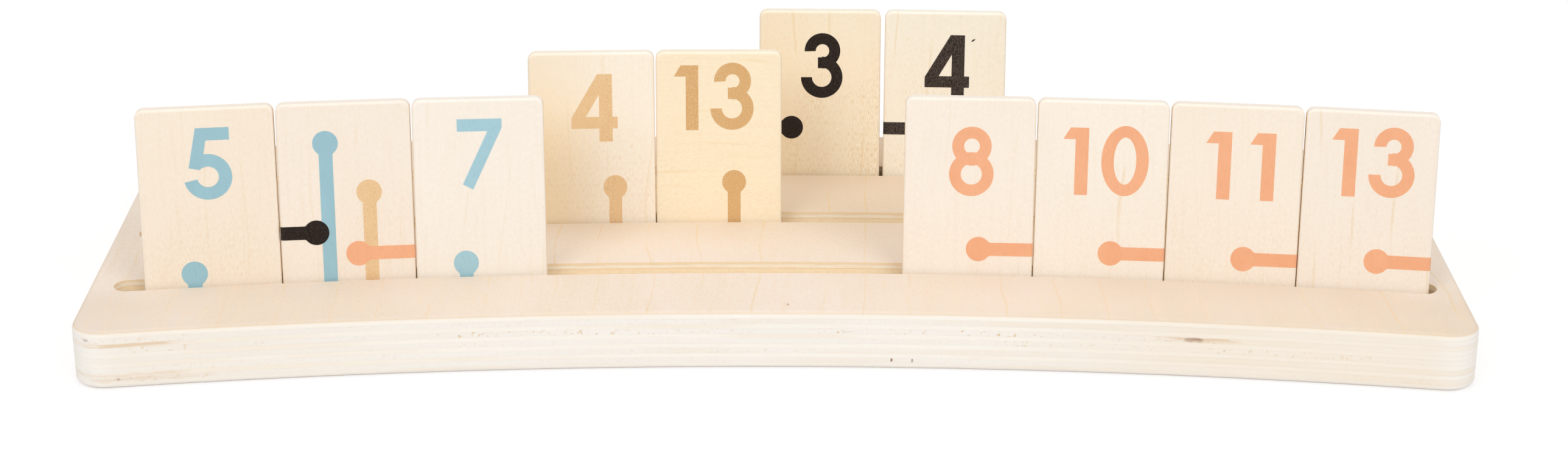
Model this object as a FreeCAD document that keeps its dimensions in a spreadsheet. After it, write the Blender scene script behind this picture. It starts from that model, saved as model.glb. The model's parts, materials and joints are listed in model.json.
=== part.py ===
"""Curved plywood rack with three routed slots, holding eleven loose wooden number tiles.

The rack is a board of thirteen glued veneers. Its front and rear edges and its three slots are arcs about
one centre on the player's side. Each tile stands in a slot, leans back on the slot's rear rim and lifts
out along its own lean. Lengths are in millimetres, angles in degrees. +X runs along the rack, +Y away from
the player and +Z up; the origin is on the table, under the middle of the whole object.
"""
import FreeCAD
import Part
import Sketcher
import math
import os

DRIVING_SIZES = [
    # Tiles
    ("tile_width", 32.3),
    ("tile_height", 48.0),
    ("tile_thickness", 5.6),
    ("tile_corner_radius", 2.0),
    ("tile_edge_radius", 0.8),
    ("tile_lean", 12.0),
    # Two tiles that are a little wider, as wood swells across its grain
    ("swell_blue_5", 1.1),
    ("swell_joker", 0.4),
    # Veneers of the board: two faces, six plies with the grain along the rack, five with it across
    ("face_veneer", 0.5),
    ("long_ply", 1.15),
    ("cross_ply", 1.42),
    # Plan of the rack
    ("rack_width", 338.0),
    ("front_radius", 1018.0),
    ("front_margin", 24.0),
    ("slot_pitch", 33.1),
    ("rear_margin", 23.4),
    ("slot_depth", 5.0),
    ("slot_end_margin", 6.1),
    ("rack_corner_radius", 7.5),
    ("rack_edge_radius", 1.4),
    # Room around a tile in its slot
    ("rim_gap", 0.15),
    ("foot_gap", 0.15),
    ("seat_gap", 0.1),
    # Where the tiles stand: room at the slot's left end, reach into its right round end,
    # row starts, side gaps
    ("left_end_room", 8.0),
    ("right_end_reach", 0.9),
    ("middle_row_start", -63.2),
    ("back_row_start", -4.4),
    ("tile_gap", 0.15),
    ("loose_gap", 0.7),
]

# Sizes that follow from the driving ones, so that tiles and slots keep fitting each other
DERIVED_SIZES = [
    ("App::PropertyFloat", "rack_thickness", "2 * sizes.face_veneer + 6 * sizes.long_ply"
     " + 5 * sizes.cross_ply"),
    ("App::PropertyFloat", "half_width", "sizes.rack_width / 2"),
    # Depth of a tile's square foot corner below the rack's top, with its eased edge on the slot's floor
    ("App::PropertyFloat", "foot_drop", "sizes.slot_depth - sizes.seat_gap"
     " + sizes.tile_edge_radius * (sin(sizes.tile_lean) + cos(sizes.tile_lean) - 1)"),
    ("App::PropertyFloat", "tile_run", "sizes.tile_thickness * cos(sizes.tile_lean)"),
    # A flat tile against a curved wall stands off by the rise of the arc over the tile's width
    ("App::PropertyFloat", "arc_rise", "sizes.tile_width ^ 2"
     " / (8 * (sizes.front_radius + sizes.front_margin))"),
    ("App::PropertyFloat", "slot_width", "fit.tile_run + fit.foot_drop * tan(sizes.tile_lean) + fit.arc_rise"
     " + sizes.rim_gap + sizes.foot_gap"),
    ("App::PropertyFloat", "slot_1_radius", "sizes.front_radius + sizes.front_margin"),
    ("App::PropertyFloat", "slot_2_radius", "fit.slot_1_radius + sizes.slot_pitch"),
    ("App::PropertyFloat", "slot_3_radius", "fit.slot_2_radius + sizes.slot_pitch"),
    ("App::PropertyFloat", "rear_radius", "fit.slot_3_radius + fit.slot_width + sizes.rear_margin"),
    ("App::PropertyFloat", "slot_reach", "fit.half_width - sizes.slot_end_margin"),
    # The front corners reach nearest to the player, so they and the rear edge bound the rack's depth
    ("App::PropertyFloat", "front_corner_y", "sqrt((sizes.front_radius + sizes.rack_corner_radius) ^ 2"
     " - (fit.half_width - sizes.rack_corner_radius) ^ 2) - sizes.rack_corner_radius"),
    ("App::PropertyFloat", "centre_offset", "(fit.front_corner_y + fit.rear_radius) / 2"),
]

LAST_ROW = 3
for row in range(1, LAST_ROW + 1):
    foot = f"(fit.slot_{row}_radius + sizes.foot_gap)"
    DERIVED_SIZES += [
        # Radius of a tile's back foot corner, half the angle a tile takes up, and the angle to the next tile
        ("App::PropertyFloat", f"seat_{row}_radius", f"{foot} + fit.tile_run"),
        ("App::PropertyAngle", f"half_angle_{row}", f"atan(sizes.tile_width / 2 / {foot})"),
        ("App::PropertyAngle", f"step_{row}", f"2 * fit.half_angle_{row} + asin(sizes.tile_gap / {foot})"),
    ]
DERIVED_SIZES += [
    ("App::PropertyAngle", "loose_3", "asin(sizes.loose_gap / (fit.slot_3_radius + sizes.foot_gap))"),
    ("App::PropertyAngle", "half_swell_5", "asin(sizes.swell_blue_5 / 2"
     " / (fit.slot_1_radius + sizes.foot_gap))"),
    ("App::PropertyAngle", "half_swell_joker", "asin(sizes.swell_joker / 2"
     " / (fit.slot_1_radius + sizes.foot_gap))"),
]

# Each tile's slot and its angle about the arcs' centre, positive to the right
TILES = [
    ("tile_blue_5", 1, "-asin((fit.slot_reach - sizes.left_end_room) / fit.slot_1_radius)"
     " + fit.half_angle_1 + fit.half_swell_5"),
    ("tile_joker", 1, "fit.angle_tile_blue_5 + fit.step_1 + fit.half_swell_5 + fit.half_swell_joker"),
    ("tile_blue_7", 1, "fit.angle_tile_joker + fit.step_1 + fit.half_swell_joker"),
    ("tile_coral_13", 1, "asin((fit.slot_reach - fit.slot_width / 2 + sizes.right_end_reach)"
     " / fit.slot_1_radius) - fit.half_angle_1"),
    ("tile_coral_11", 1, "fit.angle_tile_coral_13 - fit.step_1"),
    ("tile_coral_10", 1, "fit.angle_tile_coral_11 - fit.step_1"),
    ("tile_coral_8", 1, "fit.angle_tile_coral_10 - fit.step_1"),
    ("tile_gold_4", 2, "asin(sizes.middle_row_start / fit.slot_2_radius) + fit.half_angle_2"),
    ("tile_gold_13", 2, "fit.angle_tile_gold_4 + fit.step_2"),
    ("tile_black_3", 3, "asin(sizes.back_row_start / fit.slot_3_radius) + fit.half_angle_3"),
    ("tile_black_4", 3, "fit.angle_tile_black_3 + fit.step_3 + fit.loose_3"),
]

# Widths of the tiles that differ from the rest
SWOLLEN_WIDTHS = {
    "tile_blue_5": "sizes.tile_width + sizes.swell_blue_5",
    "tile_joker": "sizes.tile_width + sizes.swell_joker",
}

# The board's veneers from the table up, with the size that sets each one's thickness
CORE_PLIES = 11
VENEERS = [("rack_bottom_veneer", "face_veneer")]
for number in range(CORE_PLIES, 0, -1):
    VENEERS.append((f"rack_ply_{number:02d}", "long_ply" if number % 2 else "cross_ply"))
VENEERS.append(("rack_top_veneer", "face_veneer"))


def make_sizes(doc):
    """The sheet of driving sizes, and the set of sizes that follow from it."""
    sheet = doc.addObject("Spreadsheet::Sheet", "sizes")
    for line, (name, value) in enumerate(DRIVING_SIZES, start=1):
        sheet.set(f"A{line}", name)
        sheet.set(f"B{line}", str(value))
        sheet.setAlias(f"B{line}", name)
    doc.recompute()
    fit = doc.addObject("App::VarSet", "fit")
    angles = [("App::PropertyAngle", "angle_" + name, rule) for name, row, rule in TILES]
    for kind, name, rule in DERIVED_SIZES + angles:
        fit.addProperty(kind, name, "Fit")
        fit.setExpression(name, rule)
    doc.recompute()
    return sheet, fit


def add_sketch(body, name, plane):
    """An empty sketch on one of the body's own origin planes."""
    sketch = body.newObject("Sketcher::SketchObject", name)
    support = [item for item in body.Origin.OriginFeatures if item.Role == plane][0]
    sketch.AttachmentSupport = [(support, "")]
    sketch.MapMode = "FlatFace"
    return sketch


def bind(sketch, constraint, rule):
    """Add a dimension to a sketch and tie it to a size."""
    index = sketch.addConstraint(constraint)
    sketch.setExpression(f"Constraints[{index}]", rule)


def arc_about(centre, radius, start, end):
    """A sketch arc, counter-clockwise from start to end, in radians."""
    circle = Part.Circle(centre, FreeCAD.Vector(0, 0, 1), radius)
    return Part.ArcOfCircle(circle, start, end)


def draw_rack_outline(sketch, fit):
    """Two arcs about the origin, closed by two straight sides."""
    half = fit.half_width
    front, rear = fit.Document.sizes.front_radius, fit.rear_radius
    front_turn = math.acos(half / front)
    rear_turn = math.acos(half / rear)
    origin = FreeCAD.Vector(0, 0, 0)
    front_arc = sketch.addGeometry(arc_about(origin, front, front_turn, math.pi - front_turn), False)
    rear_arc = sketch.addGeometry(arc_about(origin, rear, rear_turn, math.pi - rear_turn), False)
    front_y, rear_y = front * math.sin(front_turn), rear * math.sin(rear_turn)
    for side, end in ((1, 1), (-1, 2)):
        near, far = FreeCAD.Vector(side * half, front_y, 0), FreeCAD.Vector(side * half, rear_y, 0)
        line = Part.LineSegment(near, far)
        edge = sketch.addGeometry(line, False)
        sketch.addConstraint(Sketcher.Constraint("Coincident", edge, 1, front_arc, end))
        sketch.addConstraint(Sketcher.Constraint("Coincident", edge, 2, rear_arc, end))
        sketch.addConstraint(Sketcher.Constraint("Vertical", edge))
        from_middle = Sketcher.Constraint("DistanceX", -1, 1, edge, 1, side * half)
        bind(sketch, from_middle, f"{side} * fit.half_width")
    for arc, rule, value in ((front_arc, "sizes.front_radius", front), (rear_arc, "fit.rear_radius", rear)):
        sketch.addConstraint(Sketcher.Constraint("Coincident", arc, 3, -1, 1))
        bind(sketch, Sketcher.Constraint("Radius", arc, value), rule)


def draw_slot(sketch, fit, row):
    """One slot as the cutter leaves it: two arcs about the origin with round ends."""
    inner = getattr(fit, f"slot_{row}_radius")
    width = fit.slot_width
    middle = inner + width / 2
    reach = fit.slot_reach - width / 2
    turn = math.acos(reach / middle)
    origin = FreeCAD.Vector(0, 0, 0)
    inner_arc = sketch.addGeometry(arc_about(origin, inner, turn, math.pi - turn), False)
    outer_arc = sketch.addGeometry(arc_about(origin, inner + width, turn, math.pi - turn), False)
    right_centre = FreeCAD.Vector(reach, middle * math.sin(turn), 0)
    left_centre = FreeCAD.Vector(-reach, middle * math.sin(turn), 0)
    right_end = sketch.addGeometry(arc_about(right_centre, width / 2, turn - math.pi, turn), False)
    left_round = arc_about(left_centre, width / 2, math.pi - turn, 2 * math.pi - turn)
    left_end = sketch.addGeometry(left_round, False)
    for arc, rule, value in (
        (inner_arc, f"fit.slot_{row}_radius", inner),
        (outer_arc, f"fit.slot_{row}_radius + fit.slot_width", inner + width),
    ):
        sketch.addConstraint(Sketcher.Constraint("Coincident", arc, 3, -1, 1))
        bind(sketch, Sketcher.Constraint("Radius", arc, value), rule)
    sketch.addConstraint(Sketcher.Constraint("Tangent", inner_arc, 1, right_end, 1))
    sketch.addConstraint(Sketcher.Constraint("Tangent", outer_arc, 1, right_end, 2))
    sketch.addConstraint(Sketcher.Constraint("Tangent", outer_arc, 2, left_end, 1))
    sketch.addConstraint(Sketcher.Constraint("Tangent", inner_arc, 2, left_end, 2))
    for side, end in ((1, right_end), (-1, left_end)):
        rule = f"{side} * (fit.slot_reach - fit.slot_width / 2)"
        bind(sketch, Sketcher.Constraint("DistanceX", -1, 1, end, 3, side * reach), rule)


def edge_names(shape, wanted):
    """Names of the edges for which wanted(edge) holds."""
    return [f"Edge{number}" for number, edge in enumerate(shape.Edges, start=1) if wanted(edge)]


def is_along(edge, axis):
    """True for a straight edge along the given axis."""
    if edge.Curve.TypeId != "Part::GeomLine":
        return False
    return edge.tangentAt(edge.FirstParameter).cross(axis).Length < 1e-6


def lies_flat(edge, axis):
    """True for an edge whose points are all at one height along the given axis."""
    heights = [point.dot(axis) for point in edge.discretize(5)]
    return max(heights) - min(heights) < 1e-6


def round_edges(body, base, name, wanted, rule):
    """A fillet on the base feature's edges for which wanted(edge) holds."""
    body.Document.recompute()
    fillet = body.newObject("PartDesign::Fillet", name)
    fillet.Base = (base, edge_names(base.Shape, wanted))
    fillet.setExpression("Radius", rule)
    body.Document.recompute()
    return fillet


def make_blank(doc, fit):
    """The whole board before it is told apart into veneers: outline, rounded edges and slots."""
    up = FreeCAD.Vector(0, 0, 1)
    body = doc.addObject("PartDesign::Body", "rack_blank")
    outline = add_sketch(body, "rack_outline", "XY_Plane")
    draw_rack_outline(outline, fit)
    board = body.newObject("PartDesign::Pad", "rack_board")
    board.Profile = outline
    board.setExpression("Length", "fit.rack_thickness")
    corners = round_edges(
        body, board, "rack_corners", lambda edge: is_along(edge, up), "sizes.rack_corner_radius"
    )
    eased = round_edges(
        body, corners, "rack_edges", lambda edge: lies_flat(edge, up), "sizes.rack_edge_radius"
    )
    slots = add_sketch(body, "rack_slots", "XY_Plane")
    slots.setExpression("AttachmentOffset.Base.z", "fit.rack_thickness")
    for row in range(1, LAST_ROW + 1):
        draw_slot(slots, fit, row)
    doc.recompute()
    routed = body.newObject("PartDesign::Pocket", "rack_routing")
    routed.Profile = slots
    routed.setExpression("Length", "sizes.slot_depth")
    doc.recompute()
    # A slot's plan is half its outline times its width, less what its round ends lack
    cut = eased.Shape.Volume - routed.Shape.Volume
    plan = slots.Shape.Length / 2 * fit.slot_width - LAST_ROW * math.pi / 4 * fit.slot_width ** 2
    if abs(cut - plan * doc.sizes.slot_depth) > 0.01 * cut:
        raise RuntimeError("the slots aren't cut to their depth")
    body.setExpression("Placement", "placement(vector(0; -fit.centre_offset; 0); rotation(0; 0; 0))")
    return body


def make_veneers(doc, blank):
    """Each veneer is the board's share between two glue lines."""
    veneers = []
    below = []
    for name, size in VENEERS:
        base = " + ".join(below) if below else "0"
        sheet = doc.addObject("Part::Box", name + "_sheet")
        sheet.setExpression("Length", "sizes.rack_width")
        sheet.setExpression("Width", "fit.rear_radius - fit.front_corner_y")
        sheet.setExpression("Height", f"sizes.{size}")
        corner = f"vector(-fit.half_width; fit.front_corner_y - fit.centre_offset; {base})"
        sheet.setExpression("Placement", f"placement({corner}; rotation(0; 0; 0))")
        veneer = doc.addObject("Part::Common", name)
        veneer.Base = blank
        veneer.Tool = sheet
        veneer.Label = name
        veneers.append(veneer)
        below.append(f"sizes.{size}")
    return veneers


def draw_tile_outline(sketch, sizes, width_rule):
    """A rectangle standing on the sketch's X axis, centred on its Y axis."""
    half, height = sizes.tile_width / 2, sizes.tile_height
    corners = [(-half, 0), (half, 0), (half, height), (-half, height)]
    points = [FreeCAD.Vector(x, y, 0) for x, y in corners]
    for number, start in enumerate(points):
        sketch.addGeometry(Part.LineSegment(start, points[(number + 1) % 4]), False)
    for number in range(4):
        sketch.addConstraint(Sketcher.Constraint("Coincident", number, 2, (number + 1) % 4, 1))
    for number, direction in enumerate(("Horizontal", "Vertical", "Horizontal", "Vertical")):
        sketch.addConstraint(Sketcher.Constraint(direction, number))
    sketch.addConstraint(Sketcher.Constraint("Symmetric", 0, 1, 0, 2, -1, 1))
    bind(sketch, Sketcher.Constraint("DistanceX", 0, 1, 0, 2, 2 * half), width_rule)
    bind(sketch, Sketcher.Constraint("DistanceY", 1, 1, 1, 2, height), "sizes.tile_height")


def make_tile(doc, name, row):
    """A flat tile with rounded corners and eased edges, leaning back in its slot."""
    through = FreeCAD.Vector(0, 1, 0)
    body = doc.addObject("PartDesign::Body", name)
    body.Label = name
    outline = add_sketch(body, name + "_outline", "XZ_Plane")
    draw_tile_outline(outline, doc.sizes, SWOLLEN_WIDTHS.get(name, "sizes.tile_width"))
    plate = body.newObject("PartDesign::Pad", name + "_plate")
    plate.Profile = outline
    plate.setExpression("Length", "sizes.tile_thickness")
    corners = round_edges(
        body, plate, name + "_corners", lambda edge: is_along(edge, through), "sizes.tile_corner_radius"
    )
    round_edges(
        body, corners, name + "_edges", lambda edge: lies_flat(edge, through), "sizes.tile_edge_radius"
    )
    seat, angle = f"fit.seat_{row}_radius", f"fit.angle_{name}"
    along, back = f"{seat} * sin({angle})", f"{seat} * cos({angle}) - fit.centre_offset"
    place = f"vector({along}; {back}; fit.rack_thickness - fit.foot_drop)"
    body.setExpression("Placement", f"placement({place}; rotation(-{angle}; 0; -sizes.tile_lean))")
    return body


def check(doc, parts):
    """Stop if anything in the document failed, or if a sub-part isn't one sound solid."""
    for item in doc.Objects:
        if "Invalid" in item.State or "Error" in item.State:
            raise RuntimeError(f"{item.Label} failed: {item.State}")
    for part in parts:
        if part.Shape.isNull() or not part.Shape.isValid() or len(part.Shape.Solids) != 1:
            raise RuntimeError(f"{part.Label} isn't one sound solid")


def main():
    doc = FreeCAD.newDocument("number_tile_rack")
    sheet, fit = make_sizes(doc)
    blank = make_blank(doc, fit)
    parts = make_veneers(doc, blank)
    parts += [make_tile(doc, name, row) for name, row, rule in TILES]
    doc.recompute()
    check(doc, parts)
    os.makedirs("parts", exist_ok=True)
    for part in parts:
        part.Shape.exportStep(f"parts/{part.Label}.step")
        box = part.Shape.BoundBox
        print(f"{part.Label}: {part.Shape.Volume / 1000:.2f} cm3, z {box.ZMin:.2f} to {box.ZMax:.2f}")


main()
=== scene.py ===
"""Finish of a curved plywood tile rack and its eleven wooden number tiles.

The rack and the tiles are the solids of the frame, with wood made from nodes. The numbers, dots and stripes
are thin films of printed ink on the tiles' faces. Sizes and places of the object are in millimetres; a place
on a tile's print is measured right and down from the top left corner of the tile's face.
"""
import bmesh
import bpy
import json
import math
from mathutils import Euler, Matrix, Vector


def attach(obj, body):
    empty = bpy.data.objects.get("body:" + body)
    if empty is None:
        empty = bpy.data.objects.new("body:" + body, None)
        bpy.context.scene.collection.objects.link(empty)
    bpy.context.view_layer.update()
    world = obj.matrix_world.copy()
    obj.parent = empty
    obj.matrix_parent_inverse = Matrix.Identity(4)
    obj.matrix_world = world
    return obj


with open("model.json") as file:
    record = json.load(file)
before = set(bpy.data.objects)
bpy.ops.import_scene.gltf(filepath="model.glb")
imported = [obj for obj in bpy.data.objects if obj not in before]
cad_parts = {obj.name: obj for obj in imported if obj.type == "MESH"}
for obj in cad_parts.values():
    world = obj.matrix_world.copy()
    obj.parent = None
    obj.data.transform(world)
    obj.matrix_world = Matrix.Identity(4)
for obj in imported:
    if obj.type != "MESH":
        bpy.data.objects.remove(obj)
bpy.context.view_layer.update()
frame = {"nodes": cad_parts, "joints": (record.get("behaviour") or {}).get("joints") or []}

MM = 0.001
QUARTER_TURN = math.radians(90)

# Sizes of the tiles
TILE_WIDTH = 32.3
TILE_HEIGHT = 48.0
TILE_THICKNESS = 5.6
TILE_EDGE_RADIUS = 0.8
TILE_LEAN = math.radians(12.0)

# How much wider two of the tiles are, as wood swells across its grain
TILE_SWELL = {"tile_blue_5": 1.1, "tile_joker": 0.4}

# Sizes of the rack
RACK_TOP = 15.0
FACE_VENEER = 0.5
LONG_PLY = 1.15
CROSS_PLY = 1.42
ARC_CENTRE = -1071.8896
SLOT_RADII = (1042.0, 1075.1, 1108.2)
SLOT_WIDTH = 6.976
SLOT_DEPTH = 5.0
SLOT_REACH = 162.9
FOOT_GAP = 0.15
SEAT_GAP = 0.1

# The slot that each tile stands in, counted from the front
TILE_SLOTS = {
    "tile_blue_5": 0,
    "tile_joker": 0,
    "tile_blue_7": 0,
    "tile_coral_8": 0,
    "tile_coral_10": 0,
    "tile_coral_11": 0,
    "tile_coral_13": 0,
    "tile_gold_4": 1,
    "tile_gold_13": 1,
    "tile_black_3": 2,
    "tile_black_4": 2,
}


def tile_place(tile):
    """Where a tile's own axes are: its foot in the slot, turned to the arcs' centre and leaning back."""
    axis = [joint["axis"] for joint in frame["joints"] if joint["child"] == tile][0]
    angle = math.atan2(axis[0], axis[1])
    radius = SLOT_RADII[TILE_SLOTS[tile]] + FOOT_GAP + TILE_THICKNESS * math.cos(TILE_LEAN)
    eased = TILE_EDGE_RADIUS * (math.sin(TILE_LEAN) + math.cos(TILE_LEAN) - 1)
    height = RACK_TOP - SLOT_DEPTH + SEAT_GAP - eased
    foot = Vector((radius * math.sin(angle), radius * math.cos(angle) + ARC_CENTRE, height)) * MM
    turn = Euler((-TILE_LEAN, 0.0, -angle))
    return foot, turn


# Bump of each surface: its strength and its depth
WOOD_BUMP = (0.12, 0.05 * MM)
PLY_BUMP = (0.15, 0.06 * MM)
INK_BUMP = (0.1, 0.05 * MM)

# How high fibres and cells stand, where pores and pits go down by 1
FIBRE_RISE = 0.4
CELL_RISE = 0.3

# Mirror sheen of bare wood and ink
MATT_SHEEN = 0.2
BLACK_SHEEN = 0.08

# The middle of a noise, over which one tone goes slowly into another
GENTLE = (0.3, 0.7)


# Node helpers

def shade(red, green, blue):
    """A colour given as it looks on screen, from 0 to 255, as a linear colour."""
    linear = []
    for value in (red, green, blue):
        level = min(max(value / 255, 0.0), 1.0)
        linear.append(level / 12.92 if level <= 0.04045 else ((level + 0.055) / 1.055) ** 2.4)
    return (*linear, 1.0)


def stepped(tone, step):
    """A tone moved by a step in red, green and blue, as a linear colour."""
    return shade(*(value + change for value, change in zip(tone, step)))


def new_finish(name):
    """A material with its tree, its surface shader and the place of a point, in metres."""
    material = bpy.data.materials.new(name)
    material.use_nodes = True
    tree = material.node_tree
    surface = tree.nodes["Principled BSDF"]
    where = tree.nodes.new("ShaderNodeTexCoord").outputs["Object"]
    return material, tree, surface, where


def put(tree, kind, sockets=(), **settings):
    """Add a node; a socket in sockets is linked, any other value is set."""
    made = tree.nodes.new(kind)
    for name, value in settings.items():
        setattr(made, name, value)
    for socket, value in dict(sockets).items():
        if isinstance(value, bpy.types.NodeSocket):
            tree.links.new(value, made.inputs[socket])
        else:
            made.inputs[socket].default_value = value
    return made


def scaled(tree, where, scale, shift=(0.0, 0.0, 0.0)):
    """Stretch the pattern that follows, in repeats per metre along each axis."""
    return put(tree, "ShaderNodeMapping", {"Vector": where, "Scale": scale, "Location": shift}).outputs[0]


def cloudy(tree, where, scale, detail=2.0, shift=(0.0, 0.0, 0.0)):
    """Noise from 0 to 1 around 0.5; a shift sets patterns of one scale apart."""
    vector = scaled(tree, where, scale, shift)
    made = put(tree, "ShaderNodeTexNoise", {"Vector": vector, "Scale": 1.0, "Detail": detail})
    return made.outputs["Fac"]


def between(tree, value, low, high, start=0.0, end=1.0):
    """Ramp smoothly from start at low to end at high."""
    sockets = {"Value": value, "From Min": low, "From Max": high, "To Min": start, "To Max": end}
    return put(tree, "ShaderNodeMapRange", sockets, interpolation_type="SMOOTHSTEP").outputs[0]


def over_span(tree, place, near, far, start=0.0, end=1.0):
    """Ramp smoothly from start to end between two places, given in millimetres."""
    return between(tree, place, near * MM, far * MM, start, end)


def combine(tree, operation, first, second=0.0):
    """One step of arithmetic."""
    return put(tree, "ShaderNodeMath", {0: first, 1: second}, operation=operation).outputs[0]


def times(tree, first, second):
    """Two amounts multiplied."""
    return combine(tree, "MULTIPLY", first, second)


def plus(tree, first, second):
    """Two amounts added up."""
    return combine(tree, "ADD", first, second)


def off_by(tree, value, middle):
    """How far a value lies from a middle, either way."""
    return combine(tree, "ABSOLUTE", combine(tree, "SUBTRACT", value, middle))


def tint(tree, amount, under, over):
    """Lay one colour over another."""
    return put(tree, "ShaderNodeMix", {0: amount, 6: under, 7: over}, data_type="RGBA").outputs[2]


def lay(tree, colour, tone, pattern, low, high, start=0.0, end=1.0):
    """Lay a tone over a colour, by an amount that ramps with a pattern."""
    return tint(tree, between(tree, pattern, low, high, start, end), colour, tone)


def split(tree, vector):
    """The x, y and z of a point."""
    return put(tree, "ShaderNodeSeparateXYZ", {0: vector}).outputs


def facing(tree):
    """The x, y and z of the direction that the surface faces."""
    return split(tree, put(tree, "ShaderNodeNewGeometry").outputs["Normal"])


def growth_lines(tree, count, thin, full, breaks):
    """Thin lines, one for each step of a count of growth rings, broken by a pattern."""
    lines = between(tree, combine(tree, "PINGPONG", count, 0.5), thin, full)
    return times(tree, lines, breaks)


def raise_grain(tree, surface, height, strength, depth):
    """Let a pattern stand up from the surface by a little."""
    bump = put(tree, "ShaderNodeBump", {"Height": height, "Strength": strength, "Distance": depth})
    tree.links.new(bump.outputs[0], surface.inputs["Normal"])


def set_surface(tree, surface, colour, roughness, sheen=MATT_SHEEN):
    """Join a colour and a roughness to a surface with little sheen."""
    tree.links.new(colour, surface.inputs["Base Color"])
    tree.links.new(roughness, surface.inputs["Roughness"])
    surface.inputs["Specular IOR Level"].default_value = sheen


# Wood of the tiles

# Patterns in repeats per metre, twice across the grain and then along it
TILE_FIBRES = (2500, 2500, 950)
TILE_STREAKS = (900, 900, 70)
TILE_DRIFT = (46, 46, 38)
TILE_PORES = (6600, 6600, 700)
TILE_PORE_PATCHES = (110, 110, 36)
TILE_RING_SWAY = (30, 30, 11)
TILE_RING_BREAKS = (130, 130, 46)

# Growth rings per metre, and how many rings the sway shifts them by
TILE_RINGS = 105.0
TILE_RING_SHIFT = 2.2

# Ramps: from where to where in a pattern, and the amounts there where they aren't 0 and 1
TILE_PORE_RAMP = (0.50, 0.68)
TILE_PORE_PATCH_RAMP = (0.32, 0.64, 0.3, 1.0)
TILE_RING_RAMP = (0.455, 0.492)
TILE_RING_BREAK_RAMP = (0.46, 0.60)
TILE_STREAK_RAMP = (0.45, 0.75, 0.0, 0.35)
TILE_FIBRE_RAMP = (*GENTLE, 0.0, 0.34)

# The same for how far to the side or up a face looks: the painted highlight on eased edges starts and ends,
# that on the top starts, and the sides start
EDGE_STARTS = (0.25, 0.5)
EDGE_ENDS = (0.7, 0.95, 0.3, 0.0)
TOP_STARTS = (0.35, 0.8, 0.0, 0.3)
SIDE_STARTS = (0.8, 0.97, 0.0, 0.55)

# The same for places on a tile: painted warm shade on its left side fades to the right, to this share, and
# then towards the top
PAINTED_SHADE_RIGHTWARD = (-14, 8)
PAINTED_SHADE_AT_RIGHT = 0.12
PAINTED_SHADE_UPWARD = (20, TILE_HEIGHT, 1.0, 0.4)

PORES_AT_TOP = 0.3
TILE_ROUGHNESS = (0.62, 0.74)

# Steps from a tile's own tone to the other tones in its wood
PALER_STEP = (1, 2, 3)
PAINTED_SHADE_STEP = (-2, -16, -42)
STREAK_STEP = (-4, -9, -15)
FIBRE_STEP = (-6, -12, -19)
RING_STEP = (-14, -30, -60)
PORE_STEP = (-20, -42, -72)

PAINTED_EDGE_HIGHLIGHT = shade(255, 250, 243)
TILE_SIDE = shade(241, 208, 162)


def tile_pores(tree, grain, upward, fade_heights, seed):
    """Pores as short dashes along the grain, in patches, fewer towards the tile's top."""
    pores = between(tree, cloudy(tree, grain, TILE_PORES, 1.0, (seed, 3.0, 0.0)), *TILE_PORE_RAMP)
    patches = cloudy(tree, grain, TILE_PORE_PATCHES, 2.0, (seed * 2.0, 1.0, 0.0))
    pores = times(tree, pores, between(tree, patches, *TILE_PORE_PATCH_RAMP))
    return times(tree, pores, over_span(tree, upward, *fade_heights, 1.0, PORES_AT_TOP))


def tile_rings(tree, grain, seed):
    """Growth lines that sway along the grain."""
    sway = cloudy(tree, grain, TILE_RING_SWAY, 2.0, (seed, 7.0, 2.0))
    count = plus(tree, times(tree, split(tree, grain)["X"], TILE_RINGS), seed)
    count = plus(tree, count, times(tree, sway, TILE_RING_SHIFT))
    breaks = cloudy(tree, grain, TILE_RING_BREAKS, 2.0, (seed, 9.0, 1.0))
    return growth_lines(tree, count, *TILE_RING_RAMP, between(tree, breaks, *TILE_RING_BREAK_RAMP))


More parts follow.
